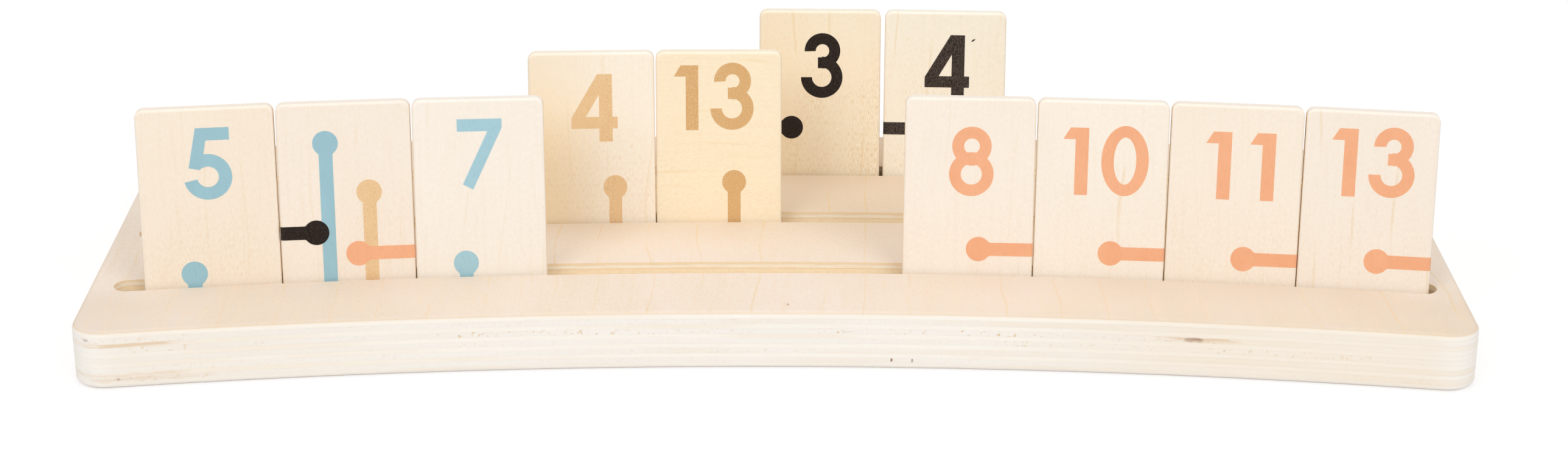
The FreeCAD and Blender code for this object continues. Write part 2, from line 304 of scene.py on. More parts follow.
def tile_wood(tile, tone, pore_strength, pore_heights, ring_strength, seed, painted_shade_left, across):
    """Pale fine-pored wood with the grain up or across the tile, with a painted highlight along its eased
    edges and top.
    """
    foot, turn = tile_place(tile)
    material, tree, surface, where = new_finish(tile + "_wood")
    sockets = {"Vector": where, "Location": foot, "Rotation": turn}
    local = put(tree, "ShaderNodeMapping", sockets, vector_type="TEXTURE").outputs[0]
    place = split(tree, local)
    grain = local
    if across:
        sockets = {"Vector": local, "Rotation": (0.0, QUARTER_TURN, 0.0)}
        grain = put(tree, "ShaderNodeMapping", sockets).outputs[0]
    fibres = cloudy(tree, grain, TILE_FIBRES, 1.0, (seed, 0.0, 0.0))
    streaks = cloudy(tree, grain, TILE_STREAKS, 2.0, (seed, 5.0, 0.0))
    drift = cloudy(tree, local, TILE_DRIFT, 2.0, (seed, 0.0, 5.0))
    rings = tile_rings(tree, grain, seed)
    pores = tile_pores(tree, grain, place["Z"], pore_heights, seed)
    colour = lay(tree, stepped(tone, PALER_STEP), shade(*tone), drift, *GENTLE)
    # Painted shade: a warmer, darker tone on the lower left, where a tile in front shades it
    painted_shade = over_span(tree, place["X"], *PAINTED_SHADE_RIGHTWARD, painted_shade_left, painted_shade_left * PAINTED_SHADE_AT_RIGHT)
    painted_shade = times(tree, painted_shade, over_span(tree, place["Z"], *PAINTED_SHADE_UPWARD))
    colour = tint(tree, painted_shade, colour, stepped(tone, PAINTED_SHADE_STEP))
    colour = lay(tree, colour, stepped(tone, STREAK_STEP), streaks, *TILE_STREAK_RAMP)
    colour = lay(tree, colour, stepped(tone, FIBRE_STEP), fibres, *TILE_FIBRE_RAMP)
    colour = tint(tree, times(tree, rings, ring_strength), colour, stepped(tone, RING_STEP))
    colour = tint(tree, times(tree, pores, pore_strength), colour, stepped(tone, PORE_STEP))
    # Painted highlight: eased edges and the top are made paler, as if more light falls there
    normal = facing(tree)
    sideways = combine(tree, "ABSOLUTE", normal["X"])
    eased = times(tree, between(tree, sideways, *EDGE_STARTS), between(tree, sideways, *EDGE_ENDS))
    painted_highlight = combine(tree, "MAXIMUM", eased, between(tree, normal["Z"], *TOP_STARTS))
    colour = tint(tree, painted_highlight, colour, PAINTED_EDGE_HIGHLIGHT)
    colour = lay(tree, colour, TILE_SIDE, sideways, *SIDE_STARTS)
    set_surface(tree, surface, colour, between(tree, fibres, *GENTLE, *TILE_ROUGHNESS))
    height = combine(tree, "SUBTRACT", times(tree, fibres, FIBRE_RISE), pores)
    raise_grain(tree, surface, height, *WOOD_BUMP)
    return material


# Tone in even light, paler for the middle and back tiles as painted light, strength of the pores, heights
# between which they fade, strength of growth lines, where the pattern starts, how strong the painted warm
# shade on the left side is, and whether the grain lies across
TILE_WOODS = [
    ("tile_blue_5", (250, 237, 220), 0.34, (12, 30), 0.18, 1.3, 0.0, False),
    ("tile_joker", (250, 238, 224), 0.26, (14, 32), 0.18, 4.1, 0.0, False),
    ("tile_blue_7", (251, 243, 232), 0.16, (10, 30), 0.15, 7.7, 0.0, False),
    ("tile_coral_8", (252, 241, 228), 0.20, (10, 30), 0.12, 11.2, 0.0, False),
    ("tile_coral_10", (252, 242, 229), 0.19, (14, 34), 0.42, 15.9, 0.0, False),
    ("tile_coral_11", (251, 239, 224), 0.26, (10, 30), 0.10, 19.4, 0.0, False),
    ("tile_coral_13", (250, 239, 226), 0.20, (12, 40), 0.40, 23.8, 0.0, False),
    # The middle and back tiles' tones are paler, in part as painted light for the lower light there
    ("tile_gold_4", (255, 246, 232), 0.42, (16, 40), 0.25, 28.1, 1.0, False),
    ("tile_gold_13", (255, 240, 212), 0.27, (10, 44), 0.25, 33.6, 0.0, True),
    ("tile_black_3", (255, 243, 221), 0.78, (22, 44), 0.35, 37.3, 0.4, False),
    ("tile_black_4", (255, 248, 233), 0.55, (18, 44), 0.40, 42.9, 0.0, False),
]


# Wood of the rack

# How far outside a slot's wall its tone still counts, and where it has gone
WALL_NEAR = 0.05
WALL_FAR = 0.1

# How far below the rack's top the slots' tone counts, and where it has gone
RIM_BELOW = 0.06
RIM_TOP = 0.01


def in_slots(tree, where):
    """1 on the walls and floors of the three slots, 0 elsewhere below the rack's top."""
    x, y, z = split(tree, where)
    from_centre = combine(tree, "SUBTRACT", y, ARC_CENTRE * MM)
    squares = plus(tree, times(tree, x, x), times(tree, from_centre, from_centre))
    radius = combine(tree, "SQRT", squares)
    half = SLOT_WIDTH / 2
    inside = 0.0
    for slot_radius in SLOT_RADII:
        off_middle = off_by(tree, radius, (slot_radius + half) * MM)
        here = over_span(tree, off_middle, half + WALL_NEAR, half + WALL_FAR, 1.0, 0.0)
        inside = combine(tree, "MAXIMUM", inside, here)
    along = combine(tree, "ABSOLUTE", x)
    reach = over_span(tree, along, SLOT_REACH + WALL_NEAR, SLOT_REACH + WALL_FAR, 1.0, 0.0)
    below = over_span(tree, z, RACK_TOP - RIM_BELOW, RACK_TOP - RIM_TOP, 1.0, 0.0)
    return times(tree, times(tree, inside, reach), below)


# Patterns of the face veneer in repeats per metre, to the right, to the back and up
VENEER_FIBRES = (2500, 900, 2500)
VENEER_STREAKS = (700, 60, 700)
VENEER_PATCHES = (40, 24, 40)
VENEER_PORES = (2600, 700, 2600)
VENEER_RING_SWAY = (9, 17, 1)
VENEER_RING_SPREAD = (21, 2, 1)
VENEER_RING_BREAKS = (55, 55, 1)

# Growth rings per metre, and how many rings the sway and the uneven spread shift them by
VENEER_RINGS = 74.0
VENEER_SWAY_SHIFT = 0.7
VENEER_SPREAD_SHIFT = 2.6

# Ramps: from where to where in a pattern, and the amounts there where they aren't 0 and 1
VENEER_PORE_RAMP = (0.58, 0.70)
VENEER_PORE_PATCH_RAMP = (0.35, 0.65, 0.25, 1.0)
VENEER_RING_RAMP = (0.478, 0.495)
VENEER_RING_BREAK_RAMP = (0.36, 0.60, 0.15, 1.0)
VENEER_STREAK_RAMP = (0.45, 0.75, 0.0, 0.4)
VENEER_FIBRE_RAMP = (*GENTLE, 0.0, 0.30)

# The same for how level a face is
VENEER_EDGE_RAMP = (0.62, 0.86, 0.6, 0.0)

# The same for places along the rack
VENEER_LEFT_TO_MIDDLE = (-130, -20)
VENEER_MIDDLE_TO_RIGHT = (5, 110)
VENEER_CORNER_ALONG = (140, 158, 0.0, 0.6)
PAINTED_SHADE_ALONG = (70, 120, 0.9, 0.0)

# The same for places from front to back
VENEER_CORNER_BACKWARD = (-52, -38)
PAINTED_SHADE_BACKWARD = (-30, 20)
VENEER_RINGS_BACKWARD = (-32, 30, 0.4, 0.95)

VENEER_PORE_STRENGTH = 0.25
VENEER_WALL_STRENGTH = 0.85
VENEER_ROUGHNESS = (0.60, 0.72)

# Two tones that the veneer drifts between at the left, in the middle and at the right, paler in the middle as
# painted light
VENEER_LEFT = (shade(232, 220, 208), shade(230, 216, 199))
VENEER_MIDDLE = (shade(242, 229, 217), shade(240, 226, 210))
VENEER_RIGHT = (shade(231, 217, 201), shade(229, 213, 192))

# Painted highlight at the front corners
VENEER_CORNER_HIGHLIGHT = shade(248, 237, 226)
# Painted shade between and behind the tiles
VENEER_PAINTED_SHADE = shade(235, 214, 187)
VENEER_STREAK = shade(239, 219, 196)
VENEER_FIBRE = shade(237, 213, 188)
VENEER_RING = shade(236, 205, 150)
VENEER_PORE = shade(222, 188, 150)
VENEER_SPECK = shade(192, 146, 116)
VENEER_EDGE = shade(236, 203, 158)
VENEER_SLOT_WALL = shade(253, 235, 204)

# A brown speck near the front: its place, how much narrower than long it is, and how it fades outward
SPECK_X = 2.8
SPECK_Y = -49.2
SPECK_NARROWING = 2.5
SPECK_FADE = (0.4, 1.3, 0.7, 0.0)


def veneer_rings(tree, where, x):
    """Growth lines from front to back, unevenly spread."""
    sway = cloudy(tree, where, VENEER_RING_SWAY, 2.0, (2.0, 0.0, 0.0))
    spread = cloudy(tree, where, VENEER_RING_SPREAD, 1.0, (9.0, 4.0, 0.0))
    count = plus(tree, times(tree, x, VENEER_RINGS), times(tree, sway, VENEER_SWAY_SHIFT))
    count = plus(tree, count, times(tree, spread, VENEER_SPREAD_SHIFT))
    breaks = cloudy(tree, where, VENEER_RING_BREAKS, 2.0, (1.0, 8.0, 0.0))
    return growth_lines(tree, count, *VENEER_RING_RAMP, between(tree, breaks, *VENEER_RING_BREAK_RAMP))


def face_veneer():
    """Outer veneer: pinkish tan, palest in the middle as painted light, its pores and growth lines from front
    to back.
    """
    material, tree, surface, where = new_finish("rack_face_veneer")
    place = split(tree, where)
    x, y = place["X"], place["Y"]
    from_middle = combine(tree, "ABSOLUTE", x)
    fibres = cloudy(tree, where, VENEER_FIBRES, 1.0)
    streaks = cloudy(tree, where, VENEER_STREAKS, 2.0, (4.0, 0.0, 0.0))
    patches = cloudy(tree, where, VENEER_PATCHES, 2.0, (0.0, 5.0, 0.0))
    pores = between(tree, cloudy(tree, where, VENEER_PORES, 1.0, (3.0, 0.0, 0.0)), *VENEER_PORE_RAMP)
    pores = times(tree, pores, between(tree, patches, *VENEER_PORE_PATCH_RAMP))
    # Painted light: paler in the middle, darker towards both ends
    sides = (VENEER_LEFT, VENEER_MIDDLE, VENEER_RIGHT)
    left_shaded_wood, middle_lit_wood, right_shaded_wood = (lay(tree, *pair, patches, *GENTLE) for pair in sides)
    colour = tint(tree, over_span(tree, x, *VENEER_LEFT_TO_MIDDLE), left_shaded_wood, middle_lit_wood)
    colour = tint(tree, over_span(tree, x, *VENEER_MIDDLE_TO_RIGHT), colour, right_shaded_wood)
    # Painted highlight: the veneer is paler at the front corners
    corner = over_span(tree, from_middle, *VENEER_CORNER_ALONG)
    corner = times(tree, corner, over_span(tree, y, *VENEER_CORNER_BACKWARD))
    colour = tint(tree, corner, colour, VENEER_CORNER_HIGHLIGHT)
    # Painted shade: a darker, warmer tone on the strips between and behind the tiles
    painted_shade_amid_tiles = over_span(tree, from_middle, *PAINTED_SHADE_ALONG)
    painted_shade_amid_tiles = times(tree, painted_shade_amid_tiles, over_span(tree, y, *PAINTED_SHADE_BACKWARD))
    colour = tint(tree, painted_shade_amid_tiles, colour, VENEER_PAINTED_SHADE)
    colour = lay(tree, colour, VENEER_STREAK, streaks, *VENEER_STREAK_RAMP)
    colour = lay(tree, colour, VENEER_FIBRE, fibres, *VENEER_FIBRE_RAMP)
    rings = times(tree, veneer_rings(tree, where, x), over_span(tree, y, *VENEER_RINGS_BACKWARD))
    colour = tint(tree, rings, colour, VENEER_RING)
    colour = tint(tree, times(tree, pores, VENEER_PORE_STRENGTH), colour, VENEER_PORE)
    from_speck = times(tree, off_by(tree, x, SPECK_X * MM), SPECK_NARROWING)
    from_speck = plus(tree, from_speck, off_by(tree, y, SPECK_Y * MM))
    colour = tint(tree, over_span(tree, from_speck, *SPECK_FADE), colour, VENEER_SPECK)
    level = combine(tree, "ABSOLUTE", facing(tree)["Z"])
    colour = lay(tree, colour, VENEER_EDGE, level, *VENEER_EDGE_RAMP)
    in_slot = times(tree, in_slots(tree, where), VENEER_WALL_STRENGTH)
    colour = tint(tree, in_slot, colour, VENEER_SLOT_WALL)
    set_surface(tree, surface, colour, between(tree, fibres, *GENTLE, *VENEER_ROUGHNESS))
    height = combine(tree, "SUBTRACT", times(tree, fibres, FIBRE_RISE), pores)
    raise_grain(tree, surface, height, *WOOD_BUMP)
    return material


# Patterns of the core plies in repeats per metre, to the right, to the back and up
PLY_STREAKS = (60, 60, 1700)
PLY_FIBRES_TO_BACK = (1700, 150, 2600)
PLY_FIBRES_ALONG = (150, 1700, 2600)
PLY_CELLS = (2300, 2300, 1700)
PLY_BANDS = (24, 24, 180)
PLY_PATCHES = (16, 16, 120)
PLY_PITS = (850, 850, 1250)
PLY_PIT_PATCHES = (26, 26, 60)
PLY_RAGGED = (300, 300, 1300)

# Ramps: from where to where in a pattern, and the amounts there where they aren't 0 and 1
LONG_WOOD_RAMP = (0.35, 0.7)
LONG_FIBRE_RAMP = (0.45, 0.75, 0.0, 0.25)
CUT_CELL_RAMP = (0.40, 0.70, 0.0, 0.16)
PLY_PATCH_RAMP = (0.48, 0.72, 0.0, 0.36)
PIT_RAMP = (0.60, 0.68)
PIT_PATCH_RAMP = (0.42, 0.62)
GLUE_BAND_RAMP = (0.4, 0.62, 0.4, 1.0)
MARK_STREAK_RAMP = (0.30, 0.58, 0.4, 1.0)
WALL_FIBRE_RAMP = (0.40, 0.65, 0.0, 0.30)

# The same for how far to the side, up or down a face looks, the last two for painted shade and painted light
AT_SIDE_RAMP = (0.55, 0.85)
UP_PAINTED_SHADE_RAMP = (0.2, 0.7, 0.0, 0.9)
DOWN_PAINTED_LIGHT_RAMP = (-0.5, -0.1, 0.8, 0.0)

# The same for places along the rack
PLY_RIGHT_ALONG = (40, 110, 0.0, 0.45)
PLY_LEFT_ALONG = (-150, -60, 0.25, 0.0)
PLY_CORNER_ALONG = (154, 167, 0.0, 0.7)
PITS_ALONG = (30, 80, 1.0, 0.35)
GLUE_ALONG = (30, 120, 0.8, 1.7)

# The same for places from front to back, and away from a glue line
MARKS_BACKWARD = (-20, -10)
GLUE_AWAY = (0.02, 0.16, 0.15, 0.0)
WALL_GLUE_AWAY = (0.04, 0.26, 0.45, 0.0)

# How far a mark's outline wanders and how much of it is its full-toned core, along it and up it
MARK_ALONG = (1.2, 0.45)
MARK_UPWARD = (1.8, 0.4)

PLY_WALL_STRENGTH = 0.9
PLY_ROUGHNESS = (0.62, 0.78)

# Two tones that long grain and cut end grain drift between
LONG_WOOD = (shade(255, 250, 242), shade(254, 248, 239))
CUT_WOOD = (shade(253, 248, 242), shade(251, 246, 239))

LONG_FIBRE = shade(246, 235, 221)
CUT_CELL = shade(234, 220, 203)
PLY_RIGHT = shade(248, 234, 214)
PLY_LEFT = shade(246, 234, 216)
PLY_CORNER_HIGHLIGHT = shade(255, 252, 247)
PLY_PATCH = shade(247, 231, 207)
# Painted shade on faces that look up, painted light on faces that look down
PLY_UP_PAINTED_SHADE = shade(241, 230, 214)
PLY_DOWN_PAINTED_LIGHT = shade(255, 252, 250)
PLY_PIT = shade(223, 186, 126)
PLY_GLUE = shade(226, 206, 182)
LONG_WALL = shade(255, 250, 237)
CUT_WALL = shade(249, 235, 208)
WALL_FIBRE = shade(240, 206, 162)
WALL_GLUE = shade(230, 192, 142)


def from_glue(tree, z):
    """How far a point is, up or down, from the nearest glue line between plies."""
    pair = LONG_PLY + CROSS_PLY
    rise = combine(tree, "SUBTRACT", z, FACE_VENEER * MM)
    rise = combine(tree, "MODULO", rise, pair * MM)
    from_pair = combine(tree, "PINGPONG", rise, pair / 2 * MM)
    return combine(tree, "MINIMUM", from_pair, off_by(tree, rise, LONG_PLY * MM))


def ply_pits(tree, where, x, seed):
    """Small pits torn out of end grain, in patches, fainter towards the right."""
    pits = between(tree, cloudy(tree, where, PLY_PITS, 1.0, (seed, 9.0, 0.0)), *PIT_RAMP)
    patches = cloudy(tree, where, PLY_PIT_PATCHES, 1.0, (seed, 0.0, 3.0))
    pits = times(tree, pits, between(tree, patches, *PIT_PATCH_RAMP))
    return times(tree, pits, over_span(tree, x, *PITS_ALONG))


def ragged_band(tree, value, ragged, middle, half, wander, core):
    """1 in the core of a band, 0 outside it, with an outline that wanders."""
    wandering = plus(tree, value, times(tree, ragged, half * wander * MM))
    return over_span(tree, off_by(tree, wandering, middle * MM), half * core, half, 1.0, 0.0)


def add_marks(tree, colour, where, streaks, seed, marks):
    """Brown streaks and knots with ragged outlines, on the front edge alone."""
    x, y, z = split(tree, where)
    ragged = combine(tree, "SUBTRACT", cloudy(tree, where, PLY_RAGGED, 3.0, (seed, 1.0, 6.0)), 0.5)
    for middle, half_length, height, half_height, strength, tone in marks:
        along = ragged_band(tree, x, ragged, middle, half_length, *MARK_ALONG)
        upward = ragged_band(tree, z, ragged, height, half_height, *MARK_UPWARD)
        mark = times(tree, along, upward)
        mark = times(tree, mark, between(tree, streaks, *MARK_STREAK_RAMP))
        mark = times(tree, mark, over_span(tree, y, *MARKS_BACKWARD, strength, 0.0))
        colour = tint(tree, mark, colour, tone)
    return colour


def ply_edge(name, seed, end_grain_at_front, pit_strength, marks):
    """A core ply, seen at the rack's edges and in the slots: long grain one way, end grain the other."""
    material, tree, surface, where = new_finish(name)
    place = split(tree, where)
    x = place["X"]
    normal = facing(tree)
    at_side = between(tree, combine(tree, "ABSOLUTE", normal["X"]), *AT_SIDE_RAMP)
    end_grain = combine(tree, "SUBTRACT", 1.0, at_side) if end_grain_at_front else at_side
    streaks = cloudy(tree, where, PLY_STREAKS, 2.0, (seed, 0.0, 0.0))
    fibre_scale = PLY_FIBRES_TO_BACK if end_grain_at_front else PLY_FIBRES_ALONG
    fibres = cloudy(tree, where, fibre_scale, 2.0, (seed, 2.0, 0.0))
    cells = cloudy(tree, where, PLY_CELLS, 1.0, (seed, 4.0, 0.0))
    bands = cloudy(tree, where, PLY_BANDS, 2.0, (seed, 6.0, 0.0))
    patches = cloudy(tree, where, PLY_PATCHES, 2.0, (seed, 11.0, 0.0))
    long_wood = lay(tree, *LONG_WOOD, streaks, *LONG_WOOD_RAMP)
    long_wood = lay(tree, long_wood, LONG_FIBRE, fibres, *LONG_FIBRE_RAMP)
    cut_wood = lay(tree, *CUT_WOOD, bands, *GENTLE)
    cut_wood = lay(tree, cut_wood, CUT_CELL, cells, *CUT_CELL_RAMP)
    colour = tint(tree, end_grain, long_wood, cut_wood)
    colour = tint(tree, over_span(tree, x, *PLY_RIGHT_ALONG), colour, PLY_RIGHT)
    colour = tint(tree, over_span(tree, x, *PLY_LEFT_ALONG), colour, PLY_LEFT)
    # Painted highlight: the ply is paler at the rack's rounded ends
    corner = over_span(tree, combine(tree, "ABSOLUTE", x), *PLY_CORNER_ALONG)
    colour = tint(tree, corner, colour, PLY_CORNER_HIGHLIGHT)
    colour = lay(tree, colour, PLY_PATCH, patches, *PLY_PATCH_RAMP)
    # Painted shade on eased edges facing up, painted light on those facing down
    colour = lay(tree, colour, PLY_UP_PAINTED_SHADE, normal["Z"], *UP_PAINTED_SHADE_RAMP)
    colour = lay(tree, colour, PLY_DOWN_PAINTED_LIGHT, normal["Z"], *DOWN_PAINTED_LIGHT_RAMP)
    pits = times(tree, ply_pits(tree, where, x, seed), end_grain)
    pits = times(tree, pits, pit_strength)
    colour = tint(tree, pits, colour, PLY_PIT)
    to_glue = from_glue(tree, place["Z"])
    glue = over_span(tree, to_glue, *GLUE_AWAY)
    glue = times(tree, glue, between(tree, bands, *GLUE_BAND_RAMP))
    glue = times(tree, glue, over_span(tree, x, *GLUE_ALONG))
    colour = tint(tree, glue, colour, PLY_GLUE)
    colour = add_marks(tree, colour, where, streaks, seed, marks)
    wall = CUT_WALL if end_grain_at_front else LONG_WALL
    wall = lay(tree, wall, WALL_FIBRE, fibres, *WALL_FIBRE_RAMP)
    wall = tint(tree, over_span(tree, to_glue, *WALL_GLUE_AWAY), wall, WALL_GLUE)
    colour = tint(tree, times(tree, in_slots(tree, where), PLY_WALL_STRENGTH), colour, wall)
    set_surface(tree, surface, colour, between(tree, cells, *GENTLE, *PLY_ROUGHNESS))
    height = combine(tree, "SUBTRACT", times(tree, cells, CELL_RISE), pits)
    raise_grain(tree, surface, height, *PLY_BUMP)
    return material


# Printed ink

INK_TONES = {
    "blue": (160, 201, 214),
    "coral": (248, 182, 141),
    "gold": (240, 204, 157),
    "black": (36, 29, 27),
}

# Thickness of the film, the step between its layers, and how far off the face they start, in films
INK_FILM = 0.04
INK_STEP = 0.006
INK_STAND = 0.75

# Patterns in repeats per metre, to the right, into the tile and up it
INK_GRAIN = (2500, 2500, 700)
INK_PATCHES = (170, 170, 100)
INK_PRICKS = (3300, 3300, 2400)
GOLD_FLAKES = (4400, 4400, 4400)
BLACK_WEAR = (3600, 3600, 2600)

# Ramps: from where to where in a pattern, and the amounts there
GOLD_GLINT_RAMP = (0.52, 0.70, 0.0, 0.5)
GOLD_SHADOW_RAMP = (0.30, 0.46, 0.4, 0.0)
BLACK_WEAR_RAMP = (0.30, 0.72, 0.1, 0.8)
BLACK_PRICK_RAMP = (0.74, 0.82, 0.0, 0.5)
INK_SHADOW_RAMP = (0.48, 0.74, 0.0, 0.3)
WOOD_PRICK_RAMP = (0.72, 0.80, 0.0, 0.25)

INK_ROUGHNESS = (0.5, 0.64)
GOLD_METAL = 0.1

# Steps from an ink's own tone to its deeper patches and to the grain that shows in it
DEEPER_STEP = (-3, -5, -6)
SHADOW_STEP = (-14, -13, -14)

DEEP_GOLD = shade(217, 170, 110)
GOLD_GLINT = shade(249, 224, 184)
GOLD_SHADOW = shade(212, 164, 108)
WORN_BLACK = shade(96, 86, 79)
BLACK_PRICK = shade(176, 156, 136)
LIGHT_BLUE = shade(170, 208, 220)
WOOD_PRICK = shade(250, 236, 220)

# Places along the rack where ink of one colour changes, and the amounts left and right of them: the blue 7 is
# lighter, the gold 13 deeper and the black 4 more worn than other tiles' ink of the same colour
BLUE_CHANGE = (-97, 0.0, 0.9)
GOLD_CHANGE = (-31, 0.0, 0.8)
BLACK_CHANGE = (29, 0.3, 1.0)


def past(tree, x, change, start, end):
    """Go from one amount to another within a millimetre of a place along the rack."""
    return over_span(tree, x, change - 1, change + 1, start, end)


def printed_ink(colour_name):
    """A thin matt film in which the wood's grain and a few bare pin pricks show."""
    material, tree, surface, where = new_finish(colour_name + "_ink")
    x = split(tree, where)["X"]
    lean = put(tree, "ShaderNodeMapping", {"Vector": where, "Rotation": (TILE_LEAN, 0.0, 0.0)}).outputs[0]
    tone = INK_TONES[colour_name]
    grain = cloudy(tree, lean, INK_GRAIN, 1.0)
    patches = cloudy(tree, lean, INK_PATCHES, 2.0, (3.0, 0.0, 0.0))
    pricks = cloudy(tree, lean, INK_PRICKS, 1.0, (7.0, 0.0, 0.0))
    colour = lay(tree, shade(*tone), stepped(tone, DEEPER_STEP), patches, *GENTLE)
    if colour_name == "gold":
        colour = tint(tree, past(tree, x, *GOLD_CHANGE), colour, DEEP_GOLD)
        flakes = cloudy(tree, lean, GOLD_FLAKES, 1.0)
        colour = lay(tree, colour, GOLD_GLINT, flakes, *GOLD_GLINT_RAMP)
        colour = lay(tree, colour, GOLD_SHADOW, flakes, *GOLD_SHADOW_RAMP)
        surface.inputs["Metallic"].default_value = GOLD_METAL
    elif colour_name == "black":
        worn = past(tree, x, *BLACK_CHANGE)
        wear = cloudy(tree, lean, BLACK_WEAR, 1.0, (5.0, 0.0, 0.0))
        faded = times(tree, between(tree, wear, *BLACK_WEAR_RAMP), worn)
        colour = tint(tree, faded, colour, WORN_BLACK)
        bare = times(tree, between(tree, pricks, *BLACK_PRICK_RAMP), worn)
        colour = tint(tree, bare, colour, BLACK_PRICK)
    else:
        if colour_name == "blue":
            colour = tint(tree, past(tree, x, *BLUE_CHANGE), colour, LIGHT_BLUE)
        colour = lay(tree, colour, stepped(tone, SHADOW_STEP), grain, *INK_SHADOW_RAMP)
        colour = lay(tree, colour, WOOD_PRICK, pricks, *WOOD_PRICK_RAMP)
    sheen = BLACK_SHEEN if colour_name == "black" else MATT_SHEEN
    set_surface(tree, surface, colour, between(tree, grain, *GENTLE, *INK_ROUGHNESS), sheen)
    raise_grain(tree, surface, grain, *INK_BUMP)
    return material


# Figures on the tiles, drawn with a flat pen

# Sides of a dot and an oval, degrees in a full ring and in one step of a bow, and the fewest steps of a bow
CIRCLE_SEGMENTS = 64
FULL_RING = 360
BOW_STEP = 5
FEWEST_BOW_STEPS = 6


def on_face(point):
    """A point of the print on the tile's own axes."""
    right, down = point
    return Vector((right - TILE_WIDTH / 2, -TILE_THICKNESS, TILE_HEIGHT - down)) * MM


def set_pen(print_mesh, ends):
    """Set the pen down: two corners with an edge across the stroke."""
    corners = [print_mesh.verts.new(on_face(point)) for point in ends]
    print_mesh.edges.new(corners)
    return corners


def draw_to(print_mesh, corners, ends):
    """Draw straight on to the pen's next place."""
    edge = print_mesh.edges.get(corners)
    drawn = bmesh.ops.extrude_edge_only(print_mesh, edges=[edge])["geom"]
    fresh = [item for item in drawn if isinstance(item, bmesh.types.BMVert)]
    followers = [min(fresh, key=lambda vertex: (vertex.co - corner.co).length) for corner in corners]
    for corner, point in zip(followers, ends):
        corner.co = on_face(point)
    return followers


def lift(print_mesh, before, level):
    """Move what was drawn since to its layer."""
    drawn = [vertex for vertex in print_mesh.verts if vertex not in before]
    height = -(INK_FILM * INK_STAND + level * INK_STEP) * MM
    bmesh.ops.translate(print_mesh, verts=drawn, vec=(0.0, height, 0.0))


def stroke(print_mesh, level, places):
    """A ribbon of ink through pairs of points; gives back its last two corners."""
    before = set(print_mesh.verts)
    corners = set_pen(print_mesh, places[0])
    for place in places[1:]:
        corners = draw_to(print_mesh, corners, place)
    lift(print_mesh, before, level)
    return corners


def bow(print_mesh, level, centre, outer, inner, start, sweep):
    """A part of a ring, by its middle, radii, start angle and sweep, clockwise from the right, in degrees."""
    before = set(print_mesh.verts)
    across = (math.cos(math.radians(start)), math.sin(math.radians(start)))
    ends = [(centre[0] + across[0] * radius, centre[1] + across[1] * radius) for radius in (outer, inner)]
    corners = set_pen(print_mesh, ends)
    bmesh.ops.spin(
        print_mesh,
        geom=[*corners, print_mesh.edges.get(corners)],
        cent=on_face(centre),
        axis=(0.0, 1.0, 0.0),
        angle=math.radians(sweep),
        steps=max(FEWEST_BOW_STEPS, round(abs(sweep) / BOW_STEP)),
        use_merge=abs(sweep) >= FULL_RING,
    )
    lift(print_mesh, before, level)


def oval(print_mesh, level, centre, outer, inner):
    """A ring between two ovals, each given by its half width and half height."""
    before = set(print_mesh.verts)
    rims = []
    for half_width, half_height in (outer, inner):
        size = Matrix.Diagonal((half_width * MM, 1.0, half_height * MM, 1.0))
        upright = Matrix.Translation(on_face(centre)) @ size @ Matrix.Rotation(QUARTER_TURN, 4, "X")
        made = bmesh.ops.create_circle(print_mesh, segments=CIRCLE_SEGMENTS, radius=1.0, matrix=upright)
        rims += [edge for edge in print_mesh.edges if set(edge.verts) <= set(made["verts"])]
    bmesh.ops.bridge_loops(print_mesh, edges=rims)
    lift(print_mesh, before, level)


def moved(places, left, top):
    """Shift the points of a stroke to the number's top left corner."""
    return [[(right + left, down + top) for right, down in place] for place in places]


def print_one(print_mesh, left, top):
    """A flag with a slanting end, and a stem."""
    stroke(print_mesh, 0, moved([[(1.72, 0.0), (0.0, 2.9)], [(6.25, 0.0), (6.25, 2.9)]], left, top))
    stroke(print_mesh, 1, moved([[(3.03, 2.6), (6.25, 2.6)], [(3.03, 16.8), (6.25, 16.8)]], left, top))


def print_three(print_mesh, left, top):
    """Two open bows and a short bar between them."""
    upper, lower = (left + 5.75, top + 4.75), (left + 5.6, top + 11.85)
    bow(print_mesh, 0, upper, 4.75, 1.8, 178, 272)
    bow(print_mesh, 1, lower, 5.55, 2.6, 270, 270)
    stroke(print_mesh, 2, moved([[(4.55, 6.5), (4.55, 9.4)], [(6.2, 6.5), (6.2, 9.4)]], left, top))


def print_four(print_mesh, left, top):
    """A stem, a bar and a slanting stroke."""
    stroke(print_mesh, 0, moved([[(7.13, 0.0), (10.52, 0.0)], [(7.13, 17.5), (10.52, 17.5)]], left, top))
    bar = [[(0.0, 11.3), (0.0, 14.08)], [(3.5, 11.06), (3.5, 14.08)], [(11.85, 11.06), (11.85, 14.08)]]
    stroke(print_mesh, 1, moved(bar, left, top))
    stroke(print_mesh, 2, moved([[(6.74, 0.0), (10.2, 0.0)], [(0.0, 11.3), (3.55, 11.3)]], left, top))


def print_five(print_mesh, left, top):
    """A bar, a slanting stem, an open bow and the bow's cut end."""
    stroke(print_mesh, 0, moved([[(3.24, 0.0), (2.61, 3.1)], [(11.05, 0.0), (11.05, 3.1)]], left, top))
    stem = [
        [(3.24, 0.0), (6.1, 0.0)],
        [(2.61, 3.1), (5.5, 3.1)],
        [(1.98, 6.25), (4.9, 6.35)],
        [(1.26, 9.8), (3.8, 10.34)],
    ]
    stroke(print_mesh, 1, moved(stem, left, top))
    bow(print_mesh, 2, (left + 5.64, top + 12.1), 5.65, 2.55, 223.7, 304)
    stroke(print_mesh, 3, moved([[(0.12, 13.3), (3.15, 12.64)], [(0.06, 13.35), (3.3, 13.3)]], left, top))


